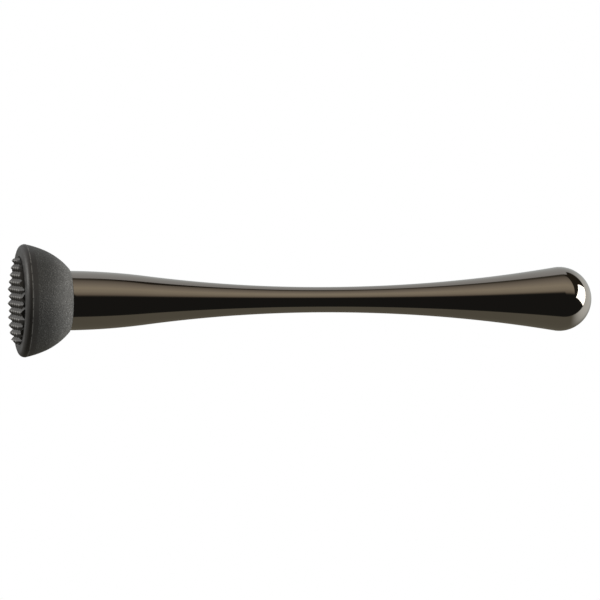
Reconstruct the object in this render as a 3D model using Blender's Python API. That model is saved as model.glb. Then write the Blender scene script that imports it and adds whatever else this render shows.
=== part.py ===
"""A bar muddler: a hollow polished steel handle with a moulded, toothed head that unscrews.

The axis lies along X, with the toothed face towards -X and the domed butt towards +X. The origin is the
middle of the length, on the axis. Lengths are in metres.
"""

import math

import bmesh
import bpy
from mathutils import Vector

MM = 0.001

# Overall
LENGTH = 210.0 * MM
TIP_X = -LENGTH / 2
BUTT_X = LENGTH / 2
SIDES = 48
GAP = 0.3 * MM
CLOSE_GAP = 0.15 * MM

# Handle outline: a waist between two long hollow curves, a rounded shoulder at the head, a ball at the butt
WAIST_X = 4.7 * MM
WAIST_RADIUS = 4.5 * MM
FORE_CURVE = 501.0 * MM
SHOULDER_X = -58.4 * MM
OPEN_END_X = -85.36 * MM
OPEN_END_SLOPE = 0.01
BUTT_RADIUS = 11.59 * MM
BUTT_CENTRE_X = BUTT_X - BUTT_RADIUS
WALL = 1.0 * MM
EDGE = 0.25 * MM

# Bored seat in the open end, and the plug welded in it
SEAT_RADIUS = 8.95 * MM
SEAT_END_X = -73.06 * MM
BUSH_X = -82.56 * MM
BUSH_LENGTH = 8.8 * MM
BUSH_CHAMFER = 0.25 * MM

# Dome at the butt
CAP_WALL = 1.1 * MM
CAP_LIP = 2.0 * MM
CAP_LIP_WALL = 0.8 * MM

# Thread, M8 x 1.25, with room to run between the faceted halves
THREAD_PITCH = 1.25 * MM
THREAD_CREST = 3.92 * MM
THREAD_ROOT = 3.24 * MM
THREAD_ROOM = 0.15 * MM
THREAD_SIDES = 24
CREST_FLAT = 0.125
ROOT_FLAT = 0.25
STUD_TURNS = 4
BUSH_TURNS = 5
STUD_THREAD_X = -82.96 * MM

# Stud
STUD_NECK_RADIUS = 4.2 * MM
STUD_NECK_END_X = -83.36 * MM
STUD_TIP_X = -76.06 * MM
STUD_TIP_RADIUS = 2.4 * MM
STUD_FOOT_X = -98.5 * MM
COLLAR_RADIUS = 6.0 * MM
COLLAR_LENGTH = 2.5 * MM
COLLAR_PITCH = 5.0 * MM

# Head
HEAD_RADIUS = 19.62 * MM
LIP_X = -103.05 * MM
LIP_ROUND = 1.86 * MM
LIP_TILT = 11.7
LIP_INNER_RADIUS = 15.2 * MM
LIP_INNER_ROUND = 0.4 * MM
SIDE_CURVE = 34.4 * MM
SIDE_TILT = 22.45
BACK_CURVE = 23.35 * MM
BACK_EDGE = 0.9 * MM
BACK_X = OPEN_END_X - GAP
SPIGOT_LENGTH = 2.5 * MM
SPIGOT_RADIUS = SEAT_RADIUS - GAP

# Seal on the spigot
SEAL_SECTION = 0.6 * MM
SEAL_RADIUS = 8.25 * MM
SEAL_SIDES = 12
GROOVE_RADIUS = 7.5 * MM
GROOVE_WIDTH = 1.5 * MM
GROOVE_START = 0.45 * MM

# Teeth
FIELD_RADIUS = 15.0 * MM
TOOTH_PITCH = 3.55 * MM
TOOTH_HEIGHT = 2.1 * MM
TOOTH_FLAT = 0.36 * MM
TOOTH_TURN = -20.5
TOOTH_SHIFT = TOOTH_PITCH / 2
TOOTH_CELLS = 11
POCKET_RADIUS = 14.6 * MM
POCKET_DEPTH = 0.7 * MM

STEEL = (0.30, 0.28, 0.26)
INNER_STEEL = (0.55, 0.54, 0.52)
NYLON = (0.045, 0.045, 0.047)
SILICONE = (0.02, 0.02, 0.022)


def clear_scene():
    for obj in list(bpy.data.objects):
        bpy.data.objects.remove(obj)


def material(name, colour, roughness, metallic=0.0):
    made = bpy.data.materials.new(name)
    made.use_nodes = True
    shader = made.node_tree.nodes["Principled BSDF"]
    shader.inputs["Base Color"].default_value = (*colour, 1.0)
    shader.inputs["Roughness"].default_value = roughness
    shader.inputs["Metallic"].default_value = metallic
    return made


def add_object(name, bm, finish=None, sharp_above=30.0):
    bmesh.ops.recalc_face_normals(bm, faces=bm.faces)
    mesh = bpy.data.meshes.new(name)
    bm.to_mesh(mesh)
    bm.free()
    mesh.shade_smooth()
    mesh.set_sharp_from_angle(angle=math.radians(sharp_above))
    obj = bpy.data.objects.new(name, mesh)
    bpy.context.scene.collection.objects.link(obj)
    if finish:
        mesh.materials.append(finish)
    return obj


def helper(obj):
    obj.hide_render = True
    obj.display_type = "WIRE"
    return obj


def set_origin(obj, x):
    """Moves the object's origin to that place on the axis, and leaves its mesh where it is."""
    for vertex in obj.data.vertices:
        vertex.co.x -= x
    obj.location.x = x


def arc(centre_x, centre_r, radius, start, end, steps):
    """Points (x, r) on an arc. 0 degrees points along +X and 90 degrees away from the axis."""
    points = []
    for step in range(steps + 1):
        angle = math.radians(start + (end - start) * step / steps)
        x = centre_x + radius * math.cos(angle)
        points.append((x, centre_r + radius * math.sin(angle)))
    return points


def ring(bm, x, radius, sides):
    vertices = []
    for side in range(sides):
        angle = math.tau * side / sides
        vertices.append(bm.verts.new((x, radius * math.cos(angle), radius * math.sin(angle))))
    return vertices


def join_rings(bm, first, second):
    sides = len(first)
    for side in range(sides):
        after = (side + 1) % sides
        bm.faces.new((first[side], first[after], second[after], second[side]))


def close_ring(bm, vertices, x):
    centre = bm.verts.new((x, 0.0, 0.0))
    for side, vertex in enumerate(vertices):
        bm.faces.new((centre, vertex, vertices[(side + 1) % len(vertices)]))


def turned(profile, closed_loop, sides=SIDES):
    """A turned solid. An open profile starts and ends on the axis, and a closed loop makes a hollow piece."""
    bm = bmesh.new()
    inner = profile if closed_loop else profile[1:-1]
    rings = [ring(bm, x, radius, sides) for x, radius in inner]
    for first, second in zip(rings, rings[1:]):
        join_rings(bm, first, second)
    if closed_loop:
        join_rings(bm, rings[-1], rings[0])
    else:
        close_ring(bm, rings[0], profile[0][0])
        close_ring(bm, rings[-1], profile[-1][0])
    return bm


# ---- the handle's outline ----------------------------------------------------------------------------


def aft_curve():
    """Radius of the hollow curve behind the waist, which is tangent to the butt's ball."""
    reach = BUTT_CENTRE_X - WAIST_X
    return (reach**2 + WAIST_RADIUS**2 - BUTT_RADIUS**2) / (2 * (BUTT_RADIUS - WAIST_RADIUS))


def butt_joint_x():
    """Where the hollow curve meets the ball, and the dome is welded to the tube."""
    sine = (BUTT_CENTRE_X - WAIST_X) / (aft_curve() + BUTT_RADIUS)
    return BUTT_CENTRE_X - BUTT_RADIUS * sine


def hollow(x, curve):
    return WAIST_RADIUS + curve - math.sqrt(curve**2 - (x - WAIST_X) ** 2)


def shoulder(x):
    """Radius between the shoulder and the open end: an arc from the hollow curve's slope to the end's."""
    start_slope = math.asin((WAIST_X - SHOULDER_X) / FORE_CURVE)
    curve = (SHOULDER_X - OPEN_END_X) / (math.sin(start_slope) - math.sin(OPEN_END_SLOPE))
    sine = math.sin(start_slope) - (SHOULDER_X - x) / curve
    start_radius = hollow(SHOULDER_X, FORE_CURVE)
    return start_radius + curve * (math.sqrt(1 - sine**2) - math.cos(start_slope))


def handle_radius(x):
    if x < SHOULDER_X:
        return shoulder(x)
    if x < WAIST_X:
        return hollow(x, FORE_CURVE)
    return hollow(x, aft_curve())


def stations(start, end, count):
    return [start + (end - start) * step / count for step in range(count + 1)]


# ---- thread ------------------------------------------------------------------------------------------


def helix_vertices(bm, start_x, radius, count):
    vertices = []
    for step in range(count + 1):
        angle = math.tau * step / THREAD_SIDES
        x = start_x + THREAD_PITCH * step / THREAD_SIDES
        vertices.append(bm.verts.new((x, radius * math.cos(angle), radius * math.sin(angle))))
    return vertices


def thread(bm, start_x, turns, first_ring, last_ring, flats):
    """Right-hand thread surface between two rings. flats are (share of the pitch, radius), from each
    flat's start, and the rings have the first flat's radius."""
    count = turns * THREAD_SIDES
    share, radius = flats[0]
    edge = helix_vertices(bm, start_x, radius, count + THREAD_SIDES)
    lines = [edge]
    for share, radius in flats[1:]:
        lines.append(helix_vertices(bm, start_x + share * THREAD_PITCH, radius, count))
    lines.append(edge[THREAD_SIDES:])
    for lower, upper in zip(lines, lines[1:]):
        for step in range(count):
            bm.faces.new((lower[step], lower[step + 1], upper[step + 1], upper[step]))
    middle = lines[1:-1]
    # The helix starts and stops at one flat cut face each, in the half-plane at angle 0.
    bm.faces.new([edge[0]] + [line[0] for line in middle] + [edge[THREAD_SIDES]])
    bm.faces.new([edge[count]] + [line[count] for line in middle] + [edge[count + THREAD_SIDES]])
    for side in range(THREAD_SIDES):
        after = (side + 1) % THREAD_SIDES
        first = [first_ring[side], first_ring[after], edge[side + 1], edge[side]]
        if after == 0:
            first.insert(2, edge[0])
        bm.faces.new(first)
        last = [edge[count + side], edge[count + side + 1], last_ring[after], last_ring[side]]
        if side == 0:
            last.append(edge[count + THREAD_SIDES])
        bm.faces.new(last)


def flat_starts():
    """Shares of the pitch where the root flat ends, the crest starts and the crest ends."""
    flank = (1 - CREST_FLAT - ROOT_FLAT) / 2
    return ROOT_FLAT, ROOT_FLAT + flank, ROOT_FLAT + flank + CREST_FLAT


# ---- pieces ------------------------------------------------------------------------------------------


def handle_shell(finish):
    joint_x = butt_joint_x()
    outer_xs = stations(OPEN_END_X + EDGE, SHOULDER_X, 6)
    outer_xs += stations(SHOULDER_X, joint_x, 26)[1:]
    profile = [(OPEN_END_X, handle_radius(OPEN_END_X) - EDGE)]
    profile += [(x, handle_radius(x)) for x in outer_xs]
    profile += [(x, handle_radius(x) - WALL) for x in stations(joint_x, SEAT_END_X, 16)]
    profile += [(SEAT_END_X, SEAT_RADIUS), (OPEN_END_X, SEAT_RADIUS)]
    return add_object("handle_shell", turned(profile, True), finish)


def butt_cap(finish):
    joint_x = butt_joint_x()
    start_x = joint_x + GAP
    inner_radius = BUTT_RADIUS - CAP_WALL
    outer_start = math.degrees(math.acos((start_x - BUTT_CENTRE_X) / BUTT_RADIUS))
    inner_start = math.degrees(math.acos((start_x - BUTT_CENTRE_X) / inner_radius))
    lip_x = joint_x - CAP_LIP
    lip_radius = handle_radius(lip_x) - WALL - CLOSE_GAP
    profile = [(BUTT_X, 0.0)]
    profile += arc(BUTT_CENTRE_X, 0.0, BUTT_RADIUS, 6.0, outer_start, 12)
    profile += [(start_x, lip_radius), (lip_x, lip_radius), (lip_x, lip_radius - CAP_LIP_WALL)]
    profile += [(start_x, lip_radius - CAP_LIP_WALL)]
    inner = arc(BUTT_CENTRE_X, 0.0, inner_radius, inner_start, 6.0, 10)
    profile += [point for point in inner if point[1] < lip_radius - CAP_LIP_WALL - EDGE]
    profile += [(BUTT_CENTRE_X + inner_radius, 0.0)]
    return add_object("butt_cap", turned(profile, False), finish)


def thread_bush(finish):
    bm = bmesh.new()
    end_x = BUSH_X + BUSH_LENGTH
    outer_radius = SEAT_RADIUS - CLOSE_GAP
    crest = THREAD_CREST + THREAD_ROOM
    root = THREAD_ROOT + THREAD_ROOM
    root_end, crest_start, crest_end = flat_starts()
    # The groove follows the stud's crest, and the flats are counted from the start of that crest.
    flats = [
        (0.0, crest),
        (crest_end - crest_start, crest),
        (1 - crest_start, root),
        (1 - crest_start + root_end, root),
    ]
    start_x = STUD_THREAD_X + crest_start * THREAD_PITCH
    front = ring(bm, BUSH_X, crest + BUSH_CHAMFER, THREAD_SIDES)
    mouth = ring(bm, BUSH_X + BUSH_CHAMFER, crest, THREAD_SIDES)
    tail = ring(bm, end_x - BUSH_CHAMFER, crest, THREAD_SIDES)
    back = ring(bm, end_x, crest + BUSH_CHAMFER, THREAD_SIDES)
    join_rings(bm, front, mouth)
    thread(bm, start_x, BUSH_TURNS, mouth, tail, flats)
    join_rings(bm, tail, back)
    outer_profile = [
        (end_x, outer_radius - BUSH_CHAMFER),
        (end_x - BUSH_CHAMFER, outer_radius),
        (BUSH_X + BUSH_CHAMFER, outer_radius),
        (BUSH_X, outer_radius - BUSH_CHAMFER),
    ]
    rings = [back]
    rings += [ring(bm, x, radius, THREAD_SIDES) for x, radius in outer_profile]
    rings += [front]
    for first, second in zip(rings, rings[1:]):
        join_rings(bm, first, second)
    return add_object("thread_bush", bm, finish)


def head_stud(finish):
    bm = bmesh.new()
    foot = [(STUD_FOOT_X, 0.0)]
    for collar in range(2):
        start = STUD_FOOT_X + collar * COLLAR_PITCH
        end = start + COLLAR_LENGTH
        foot += [(start, COLLAR_RADIUS - EDGE), (start + EDGE, COLLAR_RADIUS)]
        foot += [(end - EDGE, COLLAR_RADIUS), (end, COLLAR_RADIUS - EDGE)]
        foot += [(end, STUD_NECK_RADIUS)]
        if collar == 0:
            foot += [(start + COLLAR_PITCH, STUD_NECK_RADIUS)]
    foot += [(STUD_NECK_END_X, STUD_NECK_RADIUS), (STUD_NECK_END_X, THREAD_ROOT)]
    rings = [ring(bm, x, radius, THREAD_SIDES) for x, radius in foot[1:]]
    close_ring(bm, rings[0], STUD_FOOT_X)
    for first, second in zip(rings, rings[1:]):
        join_rings(bm, first, second)
    root_end, crest_start, crest_end = flat_starts()
    flats = [
        (0.0, THREAD_ROOT),
        (root_end, THREAD_ROOT),
        (crest_start, THREAD_CREST),
        (crest_end, THREAD_CREST),
    ]
    shank_end_x = STUD_THREAD_X + (STUD_TURNS + 1) * THREAD_PITCH + EDGE / 2
    shank_end = ring(bm, shank_end_x, THREAD_ROOT, THREAD_SIDES)
    thread(bm, STUD_THREAD_X, STUD_TURNS, rings[-1], shank_end, flats)
    tip = ring(bm, STUD_TIP_X, STUD_TIP_RADIUS, THREAD_SIDES)
    join_rings(bm, shank_end, tip)
    close_ring(bm, tip, STUD_TIP_X)
    stud = add_object("head_stud", bm, finish)
    set_origin(stud, STUD_NECK_END_X)
    return stud


def head_outline():
    """The head's outside, from the tooth pocket round the lip and over the back to the rim."""
    floor_x = LIP_X + LIP_INNER_ROUND
    points = [(floor_x + POCKET_DEPTH, 0.0), (floor_x + POCKET_DEPTH, POCKET_RADIUS)]
    points += [(floor_x, POCKET_RADIUS)]
    inner_centre = LIP_INNER_RADIUS + LIP_INNER_ROUND
    points += arc(floor_x, inner_centre, LIP_INNER_ROUND, 270.0, 180.0, 4)
    points += arc(LIP_X + LIP_ROUND, HEAD_RADIUS - LIP_ROUND, LIP_ROUND, 180.0, 90.0 - LIP_TILT, 9)
    x, r = points[-1]
    tilt = math.radians(LIP_TILT)
    centre_x = x - SIDE_CURVE * math.sin(tilt)
    centre_r = r - SIDE_CURVE * math.cos(tilt)
    points += arc(centre_x, centre_r, SIDE_CURVE, 90.0 - LIP_TILT, 90.0 - SIDE_TILT, 3)[1:]
    x, r = points[-1]
    tilt = math.radians(SIDE_TILT)
    centre_x = x - BACK_CURVE * math.sin(tilt)
    centre_r = r - BACK_CURVE * math.cos(tilt)
    # The back arc ends in a rounded edge that is tangent to it and to the flat back face.
    inset = BACK_CURVE - BACK_EDGE
    end = math.acos((BACK_X - BACK_EDGE - centre_x) / inset)
    points += arc(centre_x, centre_r, BACK_CURVE, 90.0 - SIDE_TILT, math.degrees(end), 12)[1:]
    edge_x = centre_x + inset * math.cos(end)
    edge_r = centre_r + inset * math.sin(end)
    points += arc(edge_x, edge_r, BACK_EDGE, math.degrees(end), 0.0, 4)[1:]
    return points


def head_bore():
    """The head's back face, spigot, seal groove and the cavity that holds the stud, down to its end."""
    spigot_end_x = BACK_X + SPIGOT_LENGTH
    groove_x = BACK_X + GROOVE_START
    points = [(BACK_X, SPIGOT_RADIUS), (groove_x, SPIGOT_RADIUS), (groove_x, GROOVE_RADIUS)]
    points += [(groove_x + GROOVE_WIDTH, GROOVE_RADIUS), (groove_x + GROOVE_WIDTH, SPIGOT_RADIUS)]
    points += [(spigot_end_x - EDGE, SPIGOT_RADIUS), (spigot_end_x, SPIGOT_RADIUS - EDGE)]
    neck = STUD_NECK_RADIUS + CLOSE_GAP
    cavity = COLLAR_RADIUS + CLOSE_GAP
    points += [(spigot_end_x, neck)]
    for collar in (1, 0):
        start = STUD_FOOT_X + collar * COLLAR_PITCH - CLOSE_GAP
        end = STUD_FOOT_X + collar * COLLAR_PITCH + COLLAR_LENGTH + CLOSE_GAP
        points += [(end, neck), (end, cavity), (start, cavity)]
        if collar == 1:
            points += [(start, neck)]
    points += [(STUD_FOOT_X - CLOSE_GAP, 0.0)]
    return points


def tooth_block():
    """The whole square field of teeth, before its round edge is cut: a sheet of pyramids on a thick base."""
    bm = bmesh.new()
    base_x = LIP_X + LIP_INNER_ROUND + POCKET_DEPTH + GAP
    root_x = TIP_X + TOOTH_HEIGHT
    turn = math.radians(TOOTH_TURN)
    cells = TOOTH_CELLS

    def place(x, u, v):
        u += TOOTH_SHIFT
        y = u * math.cos(turn) - v * math.sin(turn)
        z = u * math.sin(turn) + v * math.cos(turn)
        return bm.verts.new((x, y, z))

    edges = [(index - cells / 2) * TOOTH_PITCH for index in range(cells + 1)]
    roots = [[place(root_x, u, v) for v in edges] for u in edges]
    half_flat = TOOTH_FLAT / 2
    for row in range(cells):
        for column in range(cells):
            u = edges[row] + TOOTH_PITCH / 2
            v = edges[column] + TOOTH_PITCH / 2
            corners = [
                roots[row][column],
                roots[row + 1][column],
                roots[row + 1][column + 1],
                roots[row][column + 1],
            ]
            signs = [(-1, -1), (1, -1), (1, 1), (-1, 1)]
            tip = [place(TIP_X, u + su * half_flat, v + sv * half_flat) for su, sv in signs]
            bm.faces.new(tip)
            for side in range(4):
                after = (side + 1) % 4
                bm.faces.new((corners[side], corners[after], tip[after], tip[side]))
    border = [roots[index][0] for index in range(cells)]
    border += [roots[cells][index] for index in range(cells)]
    border += [roots[index][cells] for index in range(cells, 0, -1)]
    border += [roots[0][index] for index in range(cells, 0, -1)]
    base = [bm.verts.new((base_x, vertex.co.y, vertex.co.z)) for vertex in border]
    join_rings(bm, border, base)
    bm.faces.new(base)
    return helper(add_object("tooth_block", bm))


def boolean(obj, other, operation):
    modifier = obj.modifiers.new(operation.lower(), "BOOLEAN")
    modifier.operation = operation
    modifier.object = other


def head_body(finish):
    head = add_object("head_body", turned(head_outline() + head_bore(), False), finish)
    block = tooth_block()
    edge_start = TIP_X - GAP
    edge_end = LIP_X + LIP_INNER_ROUND + POCKET_DEPTH + 2 * GAP
    edge_profile = [(edge_start, 0.0), (edge_start, FIELD_RADIUS), (edge_end, FIELD_RADIUS), (edge_end, 0.0)]
    edge = helper(add_object("tooth_field_edge", turned(edge_profile, False)))
    boolean(block, edge, "INTERSECT")
    boolean(head, block, "UNION")
    return head


def seal_ring(finish):
    centre_x = BACK_X + GROOVE_START + GROOVE_WIDTH / 2
    section = arc(0.0, SEAL_RADIUS, SEAL_SECTION, 0.0, 360.0, SEAL_SIDES)[:-1]
    seal = add_object("seal_ring", turned(section, True), finish)
    seal.location.x = centre_x
    return seal


def screw_axis(name, x):
    """An empty on the axis that a body's pieces hang from."""
    empty = bpy.data.objects.new(name, None)
    empty.location = Vector((x, 0.0, 0.0))
    bpy.context.scene.collection.objects.link(empty)
    return empty


def hang(pieces, empty):
    bpy.context.view_layer.update()
    for piece in pieces:
        piece.parent = empty
        piece.matrix_parent_inverse = empty.matrix_world.inverted()


def main():
    clear_scene()
    steel = material("polished_steel", STEEL, 0.08, 1.0)
    plain_steel = material("turned_steel", INNER_STEEL, 0.3, 1.0)
    nylon = material("black_nylon", NYLON, 0.5)
    silicone = material("black_silicone", SILICONE, 0.6)
    handle_shell(steel)
    butt_cap(steel)
    thread_bush(plain_steel)
    seal = seal_ring(silicone)
    head = head_body(nylon)
    stud = head_stud(plain_steel)
    backs_off = screw_axis("head_backs_off", BACK_X)
    turns = screw_axis("head_turns", BACK_X)
    hang([seal, turns], backs_off)
    hang([head, stud], turns)


main()
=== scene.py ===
import math

import bpy
import numpy as np
from mathutils import Matrix, Vector, geometry


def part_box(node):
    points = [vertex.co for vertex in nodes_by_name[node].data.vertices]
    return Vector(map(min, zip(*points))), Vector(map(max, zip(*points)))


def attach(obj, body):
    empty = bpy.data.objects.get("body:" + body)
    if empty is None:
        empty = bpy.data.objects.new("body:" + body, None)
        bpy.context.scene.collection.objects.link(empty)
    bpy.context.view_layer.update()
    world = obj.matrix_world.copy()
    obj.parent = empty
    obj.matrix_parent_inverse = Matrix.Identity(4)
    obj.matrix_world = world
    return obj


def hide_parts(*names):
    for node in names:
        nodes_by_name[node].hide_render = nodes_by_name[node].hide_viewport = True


MM = 0.001

# Camera, at the photograph's angle
CAMERA_DISTANCE = 1.0017
CAMERA_AIM_X = -0.00032
CAMERA_TILT = math.radians(13.9)
CAMERA_ELEVATION = math.radians(67.0)
CAMERA_ROLL = math.radians(0.2)
LENS = 169.84
SENSOR = 36.0
SHIFT_X = -0.0129
SHIFT_Y = -0.0004

# Handle outline
WAIST_X = 4.7 * MM
WAIST_RADIUS = 4.5 * MM
FORE_CURVE = 501.0 * MM
SHOULDER_X = -58.4 * MM
OPEN_END_SLOPE = 0.01
BUTT_RADIUS = 11.59 * MM
WALL = 1.0 * MM
SEAT_RADIUS = 8.95 * MM
SEAT_LENGTH = 12.3 * MM
OPEN_EDGE = 0.14 * MM
SEAM = 0.05 * MM
CAP_WALL = 1.1 * MM
CAP_LIP = 2.0 * MM
CAP_LIP_WALL = 0.8 * MM
CLOSE_GAP = 0.15 * MM
HANDLE_SIDES = 160

# Head outline
GAP = 0.3 * MM
HEAD_SIDES = 240
LIP_STAND = 1.95 * MM
LIP_ROUND = 1.86 * MM
LIP_TILT = 11.7
LIP_INNER_RADIUS = 15.2 * MM
LIP_INNER_ROUND = 0.4 * MM
SIDE_CURVE = 34.4 * MM
SIDE_TILT = 22.45
BACK_CURVE = 23.35 * MM
BACK_EDGE = 0.9 * MM
PARTING_ANGLE = 81.0
PARTING_WIDTH = 0.16 * MM
PARTING_HEIGHT = 0.07 * MM
GRAIN_START = 4.2 * MM
SPIGOT_LENGTH = 2.5 * MM
SPIGOT_RADIUS = 8.65 * MM
GROOVE_RADIUS = 7.5 * MM
GROOVE_WIDTH = 1.5 * MM
GROOVE_START = 0.45 * MM
EDGE = 0.25 * MM
BORE_RADIUS = 4.35 * MM
CAVITY_RADIUS = 6.15 * MM

# Teeth
FIELD_RADIUS = 15.0 * MM
TOOTH_PITCH = 3.55 * MM
TOOTH_HEIGHT = 2.1 * MM
TOOTH_TIP = 0.12 * MM
TOOTH_TURN = math.radians(-20.5)
TOOTH_STEPS = 16
RIDGE_POWER = 9.0

# Seal
SEAL_SECTION = 0.6 * MM
SEAL_RADIUS = 8.25 * MM
SEAL_SIDES = 128

# Stud inside the head
COLLAR_PITCH = 5.0 * MM
COLLAR_LENGTH = 2.5 * MM

# Painted light and shade on the nylon, each from where it starts to where it is full: a painted highlight
# on the tooth tips, painted shade in the valleys between them, painted light on the back of the head
# towards the handle, and a painted highlight along the parting line. The first three are distances from the
# plane of the tooth tips, the last from the parting line
TIP_HIGHLIGHT = (0.55 * MM, 0.2 * MM)
VALLEY_SHADE = (1.0 * MM, 1.9 * MM)
PAINTED_BACK_LIGHT = (9.5 * MM, 19.5 * MM)
PARTING_HIGHLIGHT = (0.20 * MM, 0.07 * MM)

# Lights and stage
WINDOW_LIGHT = 4.0
SIDE_LIGHT = 10.0
TABLE_GLOW = 9.0
CARD_DISTANCE = 0.9
WINDOW_REACH = 1.2
FLOOR_SIZE = 12.0
BACKDROP_SIZE = 30.0
SQUARE = ((-1, -1), (1, -1), (1, 1), (-1, 1))


# ---- meshes ----------------------------------------------------------------------------------------


def add_mesh(name, vertices, faces, materials, slots=None, sharp_above=32.0):
    mesh = bpy.data.meshes.new(name)
    mesh.from_pydata([tuple(v) for v in vertices], [], [tuple(f) for f in faces])
    for made in materials:
        mesh.materials.append(made)
    if slots is not None:
        mesh.polygons.foreach_set("material_index", np.array(slots, np.int32))
    mesh.validate()
    mesh.shade_smooth()
    mesh.set_sharp_from_angle(angle=math.radians(sharp_above))
    obj = bpy.data.objects.new(name, mesh)
    bpy.context.scene.collection.objects.link(obj)
    return obj


def arc(centre_x, centre_r, radius, start, end, steps):
    """Points (x, r) on an arc. 0 degrees points along +X and 90 degrees away from the axis."""
    angles = np.radians(np.linspace(start, end, steps + 1))
    return [(centre_x + radius * math.cos(a), centre_r + radius * math.sin(a)) for a in angles]


def ring_points(x, radius, sides):
    angles = math.tau * np.arange(sides) / sides
    return np.stack([np.full(sides, x), radius * np.cos(angles), radius * np.sin(angles)], 1)


def revolve(profile, sides, closed):
    """Vertices and faces of a turned shape. A closed profile is a loop; an open one ends in open rings."""
    vertices = np.concatenate([ring_points(x, r, sides) for x, r in profile])
    faces = []
    count = len(profile)
    for k in range(count if closed else count - 1):
        first = k * sides
        second = (k + 1) % count * sides
        for side in range(sides):
            after = (side + 1) % sides
            faces.append((first + side, first + after, second + after, second + side))
    return vertices, faces


def outward(vertices, faces):
    """The faces turned so that a closed shape's normals point out."""
    volume = 0.0
    for face in faces:
        for k in range(1, len(face) - 1):
            a, b, c = (vertices[face[i]] for i in (0, k, k + 1))
            volume += np.dot(a, np.cross(b, c))
    return faces if volume > 0 else [tuple(reversed(face)) for face in faces]


# ---- handle ----------------------------------------------------------------------------------------


def aft_curve(butt_centre_x):
    reach = butt_centre_x - WAIST_X
    return (reach**2 + WAIST_RADIUS**2 - BUTT_RADIUS**2) / (2 * (BUTT_RADIUS - WAIST_RADIUS))


def hollow(x, curve):
    return WAIST_RADIUS + curve - math.sqrt(curve**2 - (x - WAIST_X) ** 2)


def shoulder(x, open_end_x):
    start_slope = math.asin((WAIST_X - SHOULDER_X) / FORE_CURVE)
    curve = (SHOULDER_X - open_end_x) / (math.sin(start_slope) - math.sin(OPEN_END_SLOPE))
    sine = math.sin(start_slope) - (SHOULDER_X - x) / curve
    return hollow(SHOULDER_X, FORE_CURVE) + curve * (math.sqrt(1 - sine**2) - math.cos(start_slope))


def handle_radius(x, open_end_x, butt_centre_x):
    if x < SHOULDER_X:
        return shoulder(x, open_end_x)
    if x < WAIST_X:
        return hollow(x, FORE_CURVE)
    return hollow(x, aft_curve(butt_centre_x))


def build_handle(open_end_x, joint_x, butt_x, finish):
    centre_x = butt_x - BUTT_RADIUS
    shoulder_end_x = open_end_x
    # The tube closes up to the head, where the CAD leaves room for the turning faces.
    open_end_x -= GAP - SEAM

    def radius(x):
        return handle_radius(x, shoulder_end_x, centre_x)

    edge_x = open_end_x + OPEN_EDGE
    seat_end_x = open_end_x + SEAT_LENGTH
    edge = arc(edge_x, radius(edge_x) - OPEN_EDGE, OPEN_EDGE, 180.0, 90.0, 6)
    outer = [(x, radius(x)) for x in np.linspace(edge_x, joint_x, 150)[1:]]
    inner = [(x, radius(x) - WALL) for x in np.linspace(joint_x, seat_end_x, 60)]
    seat = [(seat_end_x, SEAT_RADIUS), (open_end_x, SEAT_RADIUS)]
    vertices, faces = revolve(edge + outer + inner + seat, HANDLE_SIDES, True)
    return add_mesh("handle_tube", vertices, outward(vertices, faces), [finish])


def build_butt(open_end_x, joint_x, butt_x, finish):
    centre_x = butt_x - BUTT_RADIUS
    inner_radius = BUTT_RADIUS - CAP_WALL
    start = math.degrees(math.acos((joint_x - centre_x) / BUTT_RADIUS))
    lip_x = joint_x - CAP_LIP
    lip_radius = handle_radius(lip_x, open_end_x, centre_x) - WALL - CLOSE_GAP
    inner_start = math.degrees(math.acos((joint_x - centre_x) / inner_radius))
    outer = arc(centre_x, 0.0, BUTT_RADIUS, 1.0, start - 0.1, 60)
    outer += arc(centre_x, 0.0, BUTT_RADIUS, start, start, 0)
    lip_inside = lip_radius - CAP_LIP_WALL
    back = [(joint_x, lip_radius), (lip_x, lip_radius), (lip_x, lip_inside), (joint_x, lip_inside)]
    inner = arc(centre_x, 0.0, inner_radius, inner_start, 3.0, 24)
    inner = [(x, r) for x, r in inner if r < lip_inside - EDGE]
    profile = outer + back + inner
    vertices, faces = revolve(profile, HANDLE_SIDES, False)
    poles = [(butt_x, 0.0, 0.0), (centre_x + inner_radius, 0.0, 0.0)]
    base = len(vertices)
    vertices = np.concatenate([vertices, poles])
    last = (len(profile) - 1) * HANDLE_SIDES
    for side in range(HANDLE_SIDES):
        after = (side + 1) % HANDLE_SIDES
        faces.append((base, after, side))
        faces.append((base + 1, last + side, last + after))
    return add_mesh("butt_dome", vertices, outward(vertices, faces), [finish])


# ---- head ------------------------------------------------------------------------------------------


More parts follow.
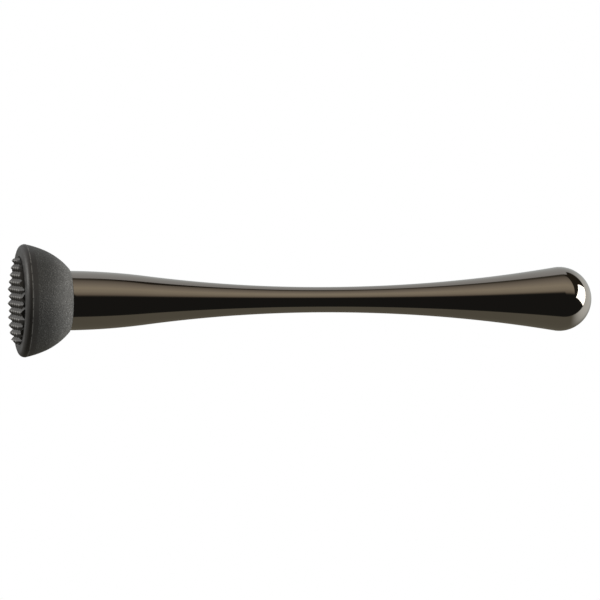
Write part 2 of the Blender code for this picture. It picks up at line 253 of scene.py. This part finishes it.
def tooth_field(tip_x):
    """The toothed face inside its round edge: 3-D points, triangles, and the indices of the edge's ring."""
    step = TOOTH_PITCH / TOOTH_STEPS
    reach = int(FIELD_RADIUS / step) + 2
    inside = FIELD_RADIUS - 0.55 * step
    angles = math.tau * np.arange(HEAD_SIDES) / HEAD_SIDES - TOOTH_TURN
    points = [(FIELD_RADIUS * math.cos(a), FIELD_RADIUS * math.sin(a)) for a in angles]
    index = {}
    for i in range(-reach, reach + 1):
        for j in range(-reach, reach + 1):
            if math.hypot(i * step, j * step) < inside:
                index[i, j] = len(points)
                points.append((i * step, j * step))
    edges = [(k, (k + 1) % HEAD_SIDES) for k in range(HEAD_SIDES)]
    half = TOOTH_STEPS // 2
    for (i, j), here in index.items():
        # Cells are centred on odd multiples of half a pitch in u and on whole pitches in v.
        links = []
        if i % TOOTH_STEPS == 0:
            links.append((i, j + 1))
        if j % TOOTH_STEPS == half:
            links.append((i + 1, j))
        if (i - half - j) % TOOTH_STEPS == 0:
            links.append((i + 1, j + 1))
        if (i - half + j) % TOOTH_STEPS == 0:
            links.append((i + 1, j - 1))
        edges += [(here, index[link]) for link in links if link in index]
    flat = [Vector(p) for p in points]
    made, _, faces, origins, _, _ = geometry.delaunay_2d_cdt(flat, edges, [], 1, 1e-9)
    uv = np.array([(p.x, p.y) for p in made])
    u = uv[:, 0] / TOOTH_PITCH - 0.5
    v = uv[:, 1] / TOOTH_PITCH
    u = np.abs(u - np.round(u)) * TOOTH_PITCH
    v = np.abs(v - np.round(v)) * TOOTH_PITCH
    away = (u**RIDGE_POWER + v**RIDGE_POWER) ** (1 / RIDGE_POWER)
    away = np.clip((away - TOOTH_TIP) / (TOOTH_PITCH / 2 - TOOTH_TIP), 0, 1)
    x = tip_x + TOOTH_HEIGHT * away
    cos, sin = math.cos(TOOTH_TURN), math.sin(TOOTH_TURN)
    y = uv[:, 0] * cos - uv[:, 1] * sin
    z = uv[:, 0] * sin + uv[:, 1] * cos
    edge = [None] * HEAD_SIDES
    for here, sources in enumerate(origins):
        for source in sources:
            if source < HEAD_SIDES:
                edge[source] = here
    return np.stack([x, y, z], 1), [tuple(f) for f in faces], edge


def head_outline(lip_x, back_x, top_radius):
    """Points (x, r) of the head's outside from the tooth field's edge to the rim at the handle."""
    floor_x = lip_x + LIP_INNER_ROUND
    points = [(floor_x, FIELD_RADIUS)]
    points += arc(floor_x, LIP_INNER_RADIUS + LIP_INNER_ROUND, LIP_INNER_ROUND, 270.0, 180.0, 8)
    lip = arc(lip_x + LIP_ROUND, top_radius - LIP_ROUND, LIP_ROUND, 180.0, 90.0 - LIP_TILT, 80)
    points += lip
    x, r = lip[-1]
    tilt = math.radians(LIP_TILT)
    centre = (x - SIDE_CURVE * math.sin(tilt), r - SIDE_CURVE * math.cos(tilt))
    side = arc(*centre, SIDE_CURVE, 90.0 - LIP_TILT, 90.0 - SIDE_TILT, 16)[1:]
    points += side
    x, r = side[-1]
    tilt = math.radians(SIDE_TILT)
    centre = (x - BACK_CURVE * math.sin(tilt), r - BACK_CURVE * math.cos(tilt))
    inset = BACK_CURVE - BACK_EDGE
    end = math.acos((back_x - BACK_EDGE - centre[0]) / inset)
    points += arc(*centre, BACK_CURVE, 90.0 - SIDE_TILT, math.degrees(end), 40)[1:]
    edge = (centre[0] + inset * math.cos(end), centre[1] + inset * math.sin(end))
    points += arc(*edge, BACK_EDGE, math.degrees(end), 0.0, 8)[1:]
    return points


def head_bore(back_x, stud_foot_x):
    """Points (x, r) from the rim at the handle, over the spigot and its groove, to the stud's foot."""
    spigot_end_x = back_x + SPIGOT_LENGTH
    groove_x = back_x + GROOVE_START
    points = [(back_x, SPIGOT_RADIUS), (groove_x, SPIGOT_RADIUS), (groove_x, GROOVE_RADIUS)]
    points += [(groove_x + GROOVE_WIDTH, GROOVE_RADIUS), (groove_x + GROOVE_WIDTH, SPIGOT_RADIUS)]
    points += [(spigot_end_x - EDGE, SPIGOT_RADIUS), (spigot_end_x, SPIGOT_RADIUS - EDGE)]
    points += [(spigot_end_x, BORE_RADIUS)]
    for collar in (1, 0):
        start = stud_foot_x + collar * COLLAR_PITCH - CLOSE_GAP
        end = stud_foot_x + collar * COLLAR_PITCH + COLLAR_LENGTH + CLOSE_GAP
        points += [(end, BORE_RADIUS), (end, CAVITY_RADIUS), (start, CAVITY_RADIUS)]
        if collar == 1:
            points += [(start, BORE_RADIUS)]
    return points


def parting_line_x(lip_x):
    return lip_x + LIP_ROUND * (1 + math.cos(math.radians(PARTING_ANGLE)))


def raise_parting_line(vertices, lip_x, top_radius):
    """Raises the thin flash that the mould's joint leaves round the rim, uneven along its length."""
    line_x = parting_line_x(lip_x)
    radius = np.hypot(vertices[:, 1], vertices[:, 2])
    angle = np.arctan2(vertices[:, 2], vertices[:, 1])
    near = (np.abs(vertices[:, 0] - line_x) < PARTING_WIDTH) & (radius > top_radius - LIP_ROUND)
    uneven = 0.75 + 0.15 * np.sin(23 * angle + 1.0) + 0.1 * np.sin(57 * angle)
    bump = np.cos(np.clip((vertices[:, 0] - line_x) / PARTING_WIDTH, -1, 1) * math.pi / 2) ** 2
    rise = np.where(near, PARTING_HEIGHT * uneven * bump, 0.0)
    scale = 1 + rise / np.maximum(radius, MM)
    vertices[:, 1:] *= scale[:, None]


def build_head(tip_x, back_x, top_radius, stud_foot_x, smooth, grained):
    lip_x = tip_x + LIP_STAND
    field, triangles, edge = tooth_field(tip_x)
    outline = head_outline(lip_x, back_x, top_radius - PARTING_HEIGHT)
    bore = head_bore(back_x, stud_foot_x)
    profile = outline + bore
    vertices, faces = revolve(profile, HEAD_SIDES, False)
    raise_parting_line(vertices, lip_x, top_radius)
    slots = []
    for k in range(len(profile) - 1):
        behind = profile[k + 1][0] > lip_x + GRAIN_START
        outside = k < len(outline) - 1 and profile[k][1] > SPIGOT_RADIUS
        slots += [int(behind and outside)] * HEAD_SIDES
    base = len(vertices)
    vertices = np.concatenate([vertices, field, [(stud_foot_x - CLOSE_GAP, 0.0, 0.0)]])
    bottom = len(vertices) - 1
    last = (len(profile) - 1) * HEAD_SIDES
    wall = []
    for side in range(HEAD_SIDES):
        after = (side + 1) % HEAD_SIDES
        wall.append((side, base + edge[side], base + edge[after], after))
        wall.append((bottom, last + side, last + after))
    cap = [tuple(base + i for i in face) for face in triangles]
    a, b, c = (field[i] for i in triangles[0][:3])
    if np.cross(b - a, c - a)[0] > 0:
        cap = [tuple(reversed(face)) for face in cap]
    around = faces + wall
    test = outward(vertices, around + cap)
    if test[0] != around[0]:
        around = [tuple(reversed(face)) for face in around]
    faces = around + cap
    slots += [0] * (len(faces) - len(slots))
    return add_mesh("head_moulding", vertices, faces, [smooth, grained], slots, 38.0)


def build_seal(back_x, finish):
    centre_x = back_x + GROOVE_START + GROOVE_WIDTH / 2
    section = arc(centre_x, SEAL_RADIUS, SEAL_SECTION, 0.0, 360.0, 24)[:-1]
    vertices, faces = revolve(section, SEAL_SIDES, True)
    return add_mesh("seal_o_ring", vertices, outward(vertices, faces), [finish])


# ---- materials -------------------------------------------------------------------------------------


class Nodes:
    """Short ways to add and join nodes of one tree."""

    def __init__(self, tree):
        self.tree = tree

    def add(self, kind, **settings):
        node = self.tree.nodes.new(kind)
        for name, value in settings.items():
            setattr(node, name, value)
        return node

    def link(self, source, target):
        self.tree.links.new(source, target)

    def put(self, socket, value):
        if isinstance(value, bpy.types.NodeSocket):
            self.link(value, socket)
        else:
            socket.default_value = value

    def math(self, operation, *values, clamp=False):
        node = self.add("ShaderNodeMath", operation=operation, use_clamp=clamp)
        for socket, value in zip(node.inputs, values):
            self.put(socket, value)
        return node.outputs[0]

    def span(self, value, low, high, start=0.0, end=1.0, smooth=True):
        """value brought from low..high to start..end, held at both ends."""
        node = self.add("ShaderNodeMapRange", interpolation_type="SMOOTHSTEP" if smooth else "LINEAR")
        for socket, number in zip(node.inputs, (value, low, high, start, end)):
            self.put(socket, number)
        return node.outputs[0]

    def mix(self, factor, first, second, kind="MIX"):
        node = self.add("ShaderNodeMix", data_type="RGBA", blend_type=kind)
        self.put(node.inputs["Factor"], factor)
        colours = [s for s in node.inputs if s.type == "RGBA"]
        self.put(colours[0], first)
        self.put(colours[1], second)
        return [s for s in node.outputs if s.type == "RGBA"][0]

    def ramp(self, factor, stops, interpolation="LINEAR"):
        node = self.add("ShaderNodeValToRGB")
        node.color_ramp.interpolation = interpolation
        elements = node.color_ramp.elements
        while len(elements) < len(stops):
            elements.new(0.5)
        for element, (place, colour) in zip(elements, stops):
            element.position = place
            element.color = (*colour, 1.0) if len(colour) == 3 else colour
        self.put(node.inputs[0], factor)
        return node.outputs[0]

    def noise(self, vector, scale, detail=2.0, roughness=0.5):
        node = self.add("ShaderNodeTexNoise")
        self.link(vector, node.inputs["Vector"])
        node.inputs["Scale"].default_value = scale
        node.inputs["Detail"].default_value = detail
        node.inputs["Roughness"].default_value = roughness
        return node.outputs["Fac"]

    def parts(self, vector):
        """The vector's x, y and z."""
        node = self.add("ShaderNodeSeparateXYZ")
        self.link(vector, node.inputs[0])
        return tuple(node.outputs)

    def stretch(self, vector, scale):
        node = self.add("ShaderNodeMapping")
        self.link(vector, node.inputs["Vector"])
        node.inputs["Scale"].default_value = scale
        return node.outputs["Vector"]

    def bump(self, height, distance, strength=1.0, normal=None):
        node = self.add("ShaderNodeBump")
        node.inputs["Distance"].default_value = distance
        node.inputs["Strength"].default_value = strength
        self.link(height, node.inputs["Height"])
        if normal is not None:
            self.link(normal, node.inputs["Normal"])
        return node.outputs["Normal"]


def new_material(name):
    made = bpy.data.materials.new(name)
    made.use_nodes = True
    nodes = Nodes(made.node_tree)
    shader = made.node_tree.nodes["Principled BSDF"]
    where = nodes.add("ShaderNodeTexCoord").outputs["Object"]
    return made, nodes, shader, where


def polished_steel():
    """Dark plated, mirror-polished steel: faint haze, polishing lines round the bar, hairline scratches."""
    made, nodes, shader, where = new_material("polished_steel")
    haze = nodes.noise(where, 60.0, 3.0)
    round_lines = nodes.noise(nodes.stretch(where, (9000.0, 300.0, 300.0)), 1.0, 2.0)
    scratches = nodes.noise(nodes.stretch(where, (250.0, 5200.0, 5200.0)), 1.0, 1.0)
    scratch = nodes.span(scratches, 0.70, 0.76)
    colour = nodes.mix(haze, (0.425, 0.400, 0.368, 1), (0.395, 0.368, 0.335, 1))
    colour = nodes.mix(nodes.math("MULTIPLY", scratch, 0.25), colour, (0.50, 0.48, 0.45, 1))
    nodes.link(colour, shader.inputs["Base Color"])
    shader.inputs["Metallic"].default_value = 1.0
    rough = nodes.span(haze, 0.3, 0.7, 0.045, 0.075)
    rough = nodes.math("ADD", rough, nodes.math("MULTIPLY", scratch, 0.08))
    nodes.link(rough, shader.inputs["Roughness"])
    nodes.link(nodes.bump(round_lines, 0.0000006, 0.6), shader.inputs["Normal"])
    return made


def turned_steel():
    """Plain machined stainless: tool marks round the axis."""
    made, nodes, shader, where = new_material("turned_steel")
    marks = nodes.noise(nodes.stretch(where, (14000.0, 120.0, 120.0)), 1.0, 2.0)
    haze = nodes.noise(where, 240.0, 3.0)
    colour = nodes.mix(haze, (0.60, 0.59, 0.57, 1), (0.50, 0.49, 0.475, 1))
    nodes.link(colour, shader.inputs["Base Color"])
    shader.inputs["Metallic"].default_value = 1.0
    nodes.link(nodes.span(marks, 0.2, 0.8, 0.22, 0.36), shader.inputs["Roughness"])
    nodes.link(nodes.bump(marks, 0.00001, 0.7), shader.inputs["Normal"])
    return made


def grained_nylon(name, tip_x):
    """Black nylon with a spark-eroded grain, and painted light that makes it paler towards the handle,
    standing in for light on the back of the head.
    """
    made, nodes, shader, where = new_material(name)
    x = nodes.parts(where)[0]
    grain = nodes.noise(where, 2100.0, 3.0, 0.62)
    patch = nodes.noise(where, 420.0, 3.0, 0.6)
    # Painted light: the nylon and its specks grow paler towards the handle, standing in for light on the
    # back of the head.
    painted_back_light = nodes.span(x, tip_x + PAINTED_BACK_LIGHT[0], tip_x + PAINTED_BACK_LIGHT[1])
    colour = nodes.mix(patch, (0.039, 0.0395, 0.0385, 1), (0.049, 0.0495, 0.048, 1))
    colour = nodes.mix(painted_back_light, colour, (0.130, 0.1305, 0.127, 1))
    speck = nodes.math("MULTIPLY", nodes.span(grain, 0.55, 0.66), 0.75)
    speck_colour = nodes.mix(painted_back_light, (0.12, 0.121, 0.118, 1), (0.40, 0.402, 0.395, 1))
    colour = nodes.mix(speck, colour, speck_colour)
    pit = nodes.math("MULTIPLY", nodes.span(grain, 0.46, 0.34), 0.5)
    colour = nodes.mix(pit, colour, (0.020, 0.020, 0.020, 1))
    nodes.link(colour, shader.inputs["Base Color"])
    nodes.link(nodes.span(patch, 0.25, 0.75, 0.50, 0.62), shader.inputs["Roughness"])
    normal = nodes.bump(grain, 0.00016, 1.0)
    nodes.link(nodes.bump(patch, 0.0001, 0.35, normal), shader.inputs["Normal"])
    return made


def smooth_nylon(name, tip_x):
    """Black nylon with faint flow marks, a painted highlight on the tooth tips and painted shade in the
    valleys between them.
    """
    made, nodes, shader, where = new_material(name)
    x, y, z = nodes.parts(where)
    cloud = nodes.noise(where, 130.0, 3.0)
    fine = nodes.noise(where, 5200.0, 2.0, 0.6)
    colour = nodes.mix(cloud, (0.030, 0.029, 0.0285, 1), (0.040, 0.0385, 0.0375, 1))
    radius = nodes.math("SQRT", nodes.math("MULTIPLY_ADD", z, z, nodes.math("MULTIPLY", y, y)))
    in_field = nodes.span(radius, FIELD_RADIUS + 0.3 * MM, FIELD_RADIUS - 0.1 * MM)
    # Painted shade darkens the valleys between the teeth.
    painted_valley_shade = nodes.span(x, tip_x + VALLEY_SHADE[0], tip_x + VALLEY_SHADE[1])
    colour = nodes.mix(nodes.math("MULTIPLY", painted_valley_shade, in_field), colour, (0.006, 0.006, 0.006, 1))
    # A painted highlight makes the tooth tips pale.
    painted_tip_highlight = nodes.span(x, tip_x + TIP_HIGHLIGHT[0], tip_x + TIP_HIGHLIGHT[1])
    colour = nodes.mix(painted_tip_highlight, colour, (0.20, 0.198, 0.19, 1))
    # The mould's parting line is broken and carries a pale painted highlight.
    off_line = nodes.math("ABSOLUTE", nodes.math("SUBTRACT", x, parting_line_x(tip_x + LIP_STAND)))
    broken = nodes.span(nodes.noise(where, 700.0, 3.0, 0.6), 0.40, 0.50)
    parting_highlight = nodes.math("MULTIPLY", nodes.span(off_line, *PARTING_HIGHLIGHT), broken)
    colour = nodes.mix(parting_highlight, colour, (0.14, 0.137, 0.131, 1))
    nodes.link(colour, shader.inputs["Base Color"])
    nodes.link(nodes.span(cloud, 0.25, 0.75, 0.46, 0.58), shader.inputs["Roughness"])
    normal = nodes.bump(fine, 0.00002, 0.5)
    nodes.link(nodes.bump(cloud, 0.0003, 0.2, normal), shader.inputs["Normal"])
    return made


def silicone():
    """Black rubber with a faint dusty bloom."""
    made, nodes, shader, where = new_material("black_silicone")
    bloom = nodes.noise(where, 700.0, 3.0)
    colour = nodes.mix(bloom, (0.016, 0.016, 0.018, 1), (0.028, 0.028, 0.03, 1))
    nodes.link(colour, shader.inputs["Base Color"])
    nodes.link(nodes.span(bloom, 0.3, 0.7, 0.5, 0.66), shader.inputs["Roughness"])
    nodes.link(nodes.bump(bloom, 0.00004, 0.3), shader.inputs["Normal"])
    return made


# ---- stage -----------------------------------------------------------------------------------------


def glow(name, colour, strength):
    made = bpy.data.materials.new(name)
    made.use_nodes = True
    nodes = Nodes(made.node_tree)
    made.node_tree.nodes.clear()
    light = nodes.add("ShaderNodeEmission")
    light.inputs["Color"].default_value = (*colour, 1.0)
    light.inputs["Strength"].default_value = strength
    nodes.link(light.outputs[0], nodes.add("ShaderNodeOutputMaterial").inputs["Surface"])
    return made


def seen_by(obj, camera, light_rays):
    """Sets whether the camera sees the object, and whether its light or reflection reaches anything."""
    obj.visible_camera = camera
    obj.visible_diffuse = light_rays
    obj.visible_glossy = light_rays
    obj.visible_transmission = light_rays
    obj.visible_volume_scatter = False
    obj.visible_shadow = False


def add_stage(name, vertices, faces, finish):
    mesh = bpy.data.meshes.new(name)
    mesh.from_pydata([tuple(v) for v in vertices], [], faces)
    mesh.materials.append(finish)
    obj = bpy.data.objects.new(name, mesh)
    bpy.context.scene.collection.objects.link(obj)
    return obj


def build_floor(head_rim, butt):
    """A pale floor that the head's rim and the butt's ball both rest on. Each is (x, radius)."""
    slope = math.asin((head_rim[1] - butt[1]) / (butt[0] - head_rim[0]))
    normal = Vector((-math.sin(slope), 0.0, math.cos(slope)))
    along = Vector((math.cos(slope), 0.0, math.sin(slope)))
    centre = Vector((butt[0], 0.0, 0.0)) - normal * butt[1]
    across = Vector((0.0, FLOOR_SIZE, 0.0))
    corners = [centre + along * a * FLOOR_SIZE + across * b for a, b in SQUARE]
    floor = add_stage("floor", corners, [(0, 1, 2, 3)], glow("floor_white", (1, 1, 1), 1.0))
    seen_by(floor, camera=True, light_rays=False)
    ends = (-BACKDROP_SIZE, BACKDROP_SIZE)
    box = [(x, y, z) for x in ends for y in ends for z in ends]
    sides = [(0, 1, 3, 2), (4, 6, 7, 5), (0, 4, 5, 1), (2, 3, 7, 6), (0, 2, 6, 4), (1, 5, 7, 3)]
    backdrop = add_stage("backdrop", box, sides, glow("backdrop_white", (1, 1, 1), 1.0))
    seen_by(backdrop, camera=True, light_rays=False)


def build_window(finish):
    """The bright window beyond the butt."""
    top = [(0.7976, 0.4525, 0.3967), (0.7402, -0.1914, 0.6443)]
    bottom = [(0.955, -0.29, 0.03), (0.93, 0.36, 0.03)]
    corners = [Vector(corner) * WINDOW_REACH for corner in top + bottom]
    window = add_stage("window", corners, [(0, 1, 2, 3)], finish)
    seen_by(window, camera=False, light_rays=True)


def build_card(name, direction, half_width, half_height, finish):
    """A glowing card that faces the object from this direction."""
    toward = Vector(direction).normalized()
    across = toward.cross(Vector((0.0, 0.0, 1.0))).normalized()
    up = across.cross(toward)
    centre = toward * CARD_DISTANCE
    corners = [centre + across * a * half_width + up * b * half_height for a, b in SQUARE]
    card = add_stage(name, corners, [(0, 1, 2, 3)], finish)
    seen_by(card, camera=False, light_rays=True)
    return card


def studio_world():
    """Soft studio surroundings, painted by direction, which only light and reflections see.

    The turn goes round the handle's axis from straight down, through the front (90 degrees), straight up
    (180) and the back (270): the table, a dark front, a warm softbox overhead and a pale card behind.
    """
    world = bpy.data.worlds.new("studio")
    bpy.context.scene.world = world
    world.use_nodes = True
    nodes = Nodes(world.node_tree)
    background = world.node_tree.nodes["Background"]
    x, y, z = nodes.parts(nodes.add("ShaderNodeTexCoord").outputs["Generated"])
    turn = nodes.math("MULTIPLY_ADD", nodes.math("ARCTAN2", y, z), 1 / math.tau, 0.5)

    def turned(low, high):
        """Rises from 0 to 1 between these turns in degrees, or falls if low is above high."""
        return nodes.span(turn, low / 360, high / 360)

    table = (0.162, 0.149, 0.116)
    black = (0.0175, 0.0168, 0.0155)
    brown = (0.075, 0.065, 0.05)
    pale = (0.54, 0.56, 0.56)
    gap = (0.030, 0.024, 0.017, 1)
    stops = [
        (0, table),
        (89, table),
        (91.5, black),
        (169, black),
        (181, (0.26, 0.215, 0.165)),
        (192, (0.40, 0.345, 0.265)),
        (207, (0.47, 0.405, 0.31)),
        (222, (0.36, 0.31, 0.25)),
        (242, (0.19, 0.163, 0.135)),
        (247, brown),
        (254, brown),
        (255.5, (0.43, 0.42, 0.42)),
        (303, pale),
        (330, pale),
        (352, table),
    ]
    colour = nodes.ramp(turn, [(degrees / 360, stop) for degrees, stop in stops])
    # The softbox stops towards the butt, a little nearer than its own height.
    height = nodes.math("MAXIMUM", z, 0.01)
    past = nodes.span(nodes.math("DIVIDE", x, height), 0.77, 0.83)
    overhead = nodes.math("MULTIPLY", turned(166, 168), turned(256, 254))
    colour = nodes.mix(nodes.math("MULTIPLY", past, overhead), colour, gap)
    # The pale card behind stops too, above the table's edge.
    depth = nodes.math("MAXIMUM", y, 0.01)
    aside = nodes.span(nodes.math("DIVIDE", x, depth), 0.36, 0.42)
    behind = nodes.math("MULTIPLY", turned(252, 254), turned(274, 272))
    colour = nodes.mix(nodes.math("MULTIPLY", aside, behind), colour, gap)
    # The softbox's front edge slants, and starts up to 6 degrees later where x is small.
    slant = nodes.span(x, 0.17, 0.02, 0.0, 6 / 360)
    before = nodes.span(nodes.math("SUBTRACT", turn, slant), 181 / 360, 169 / 360)
    colour = nodes.mix(nodes.math("MULTIPLY", before, turned(150, 155)), colour, (*black, 1))
    # A pale wall faces the toothed end.
    colour = nodes.mix(nodes.span(x, -0.55, -0.85), colour, (0.34, 0.33, 0.315, 1))
    # The table is brighter towards the window.
    below = nodes.span(z, 0.02, -0.02)
    near_window = nodes.span(x, 0.45, 0.95)
    colour = nodes.mix(nodes.math("MULTIPLY", below, near_window), colour, (0.85, 0.85, 0.82, 1))
    nodes.link(colour, background.inputs["Color"])
    background.inputs["Strength"].default_value = 1.0


def build_camera():
    ahead = Vector((0.0, -math.cos(CAMERA_ELEVATION), math.sin(CAMERA_ELEVATION)))
    along = Vector((1.0, 0.0, 0.0))
    toward = ahead * math.cos(CAMERA_TILT) - along * math.sin(CAMERA_TILT)
    right = along * math.cos(CAMERA_TILT) + ahead * math.sin(CAMERA_TILT)
    up = toward.cross(right)
    turn = Matrix((right, up, toward)).transposed() @ Matrix.Rotation(-CAMERA_ROLL, 3, "Z")
    data = bpy.data.cameras.new("camera")
    data.lens = LENS
    data.sensor_width = SENSOR
    data.shift_x = SHIFT_X
    data.shift_y = SHIFT_Y
    camera = bpy.data.objects.new("camera", data)
    place = toward * CAMERA_DISTANCE + along * CAMERA_AIM_X
    camera.matrix_world = Matrix.Translation(place) @ turn.to_4x4()
    bpy.context.scene.collection.objects.link(camera)
    bpy.context.scene.camera = camera


def finish_node(obj, made):
    obj.data.materials.clear()
    obj.data.materials.append(made)
    obj.data.shade_smooth()
    obj.data.set_sharp_from_angle(angle=math.radians(30.0))


# ---- scene -----------------------------------------------------------------------------------------

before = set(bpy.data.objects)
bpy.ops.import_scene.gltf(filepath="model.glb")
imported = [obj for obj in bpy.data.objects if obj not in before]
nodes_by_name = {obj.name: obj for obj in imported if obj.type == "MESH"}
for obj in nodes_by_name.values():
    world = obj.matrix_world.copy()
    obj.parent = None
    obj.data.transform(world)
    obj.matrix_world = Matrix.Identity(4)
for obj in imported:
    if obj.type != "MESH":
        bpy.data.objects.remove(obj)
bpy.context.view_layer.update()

head_low, head_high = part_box("head_body")
shell_low, shell_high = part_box("handle_shell")
butt_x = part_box("butt_cap")[1].x
stud_foot_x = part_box("head_stud")[0].x
back_x = shell_low.x - GAP
top_radius = head_high.z

steel = polished_steel()
inner_steel = turned_steel()
smooth = smooth_nylon("black_nylon", head_low.x)
grained = grained_nylon("black_nylon_grained", head_low.x)
rubber = silicone()

tube = build_handle(shell_low.x, shell_high.x, butt_x, steel)
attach(tube, "handle")
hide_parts("handle_shell")

dome = build_butt(shell_low.x, shell_high.x, butt_x, steel)
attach(dome, "handle")
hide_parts("butt_cap")

head = build_head(head_low.x, back_x, top_radius, stud_foot_x, smooth, grained)
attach(head, "head")
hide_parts("head_body")

seal = build_seal(back_x, rubber)
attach(seal, "seal")
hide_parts("seal_ring")

finish_node(nodes_by_name["head_stud"], inner_steel)
finish_node(nodes_by_name["thread_bush"], inner_steel)

studio_world()
build_window(glow("window_light", (1.0, 0.985, 0.94), WINDOW_LIGHT))
# A softbox ahead of the toothed face, on the far side and a little above, lights the teeth and the lip.
side_light = glow("side_light", (1.0, 0.985, 0.955), SIDE_LIGHT)
build_card("side_card", (-0.87, 0.43, 0.20), 0.20, 0.22, side_light)
# Daylight from beyond the butt grazes the back of the head. No mirror shows it.
table_light = glow("table_light", (1.0, 0.995, 0.98), TABLE_GLOW)
build_card("table_glow", (0.955, -0.10, 0.26), 0.22, 0.16, table_light).visible_glossy = False
build_floor((head_low.x + LIP_STAND + LIP_ROUND, top_radius), (butt_x - BUTT_RADIUS, BUTT_RADIUS))
build_camera()
bpy.context.scene.view_settings.view_transform = "Standard"
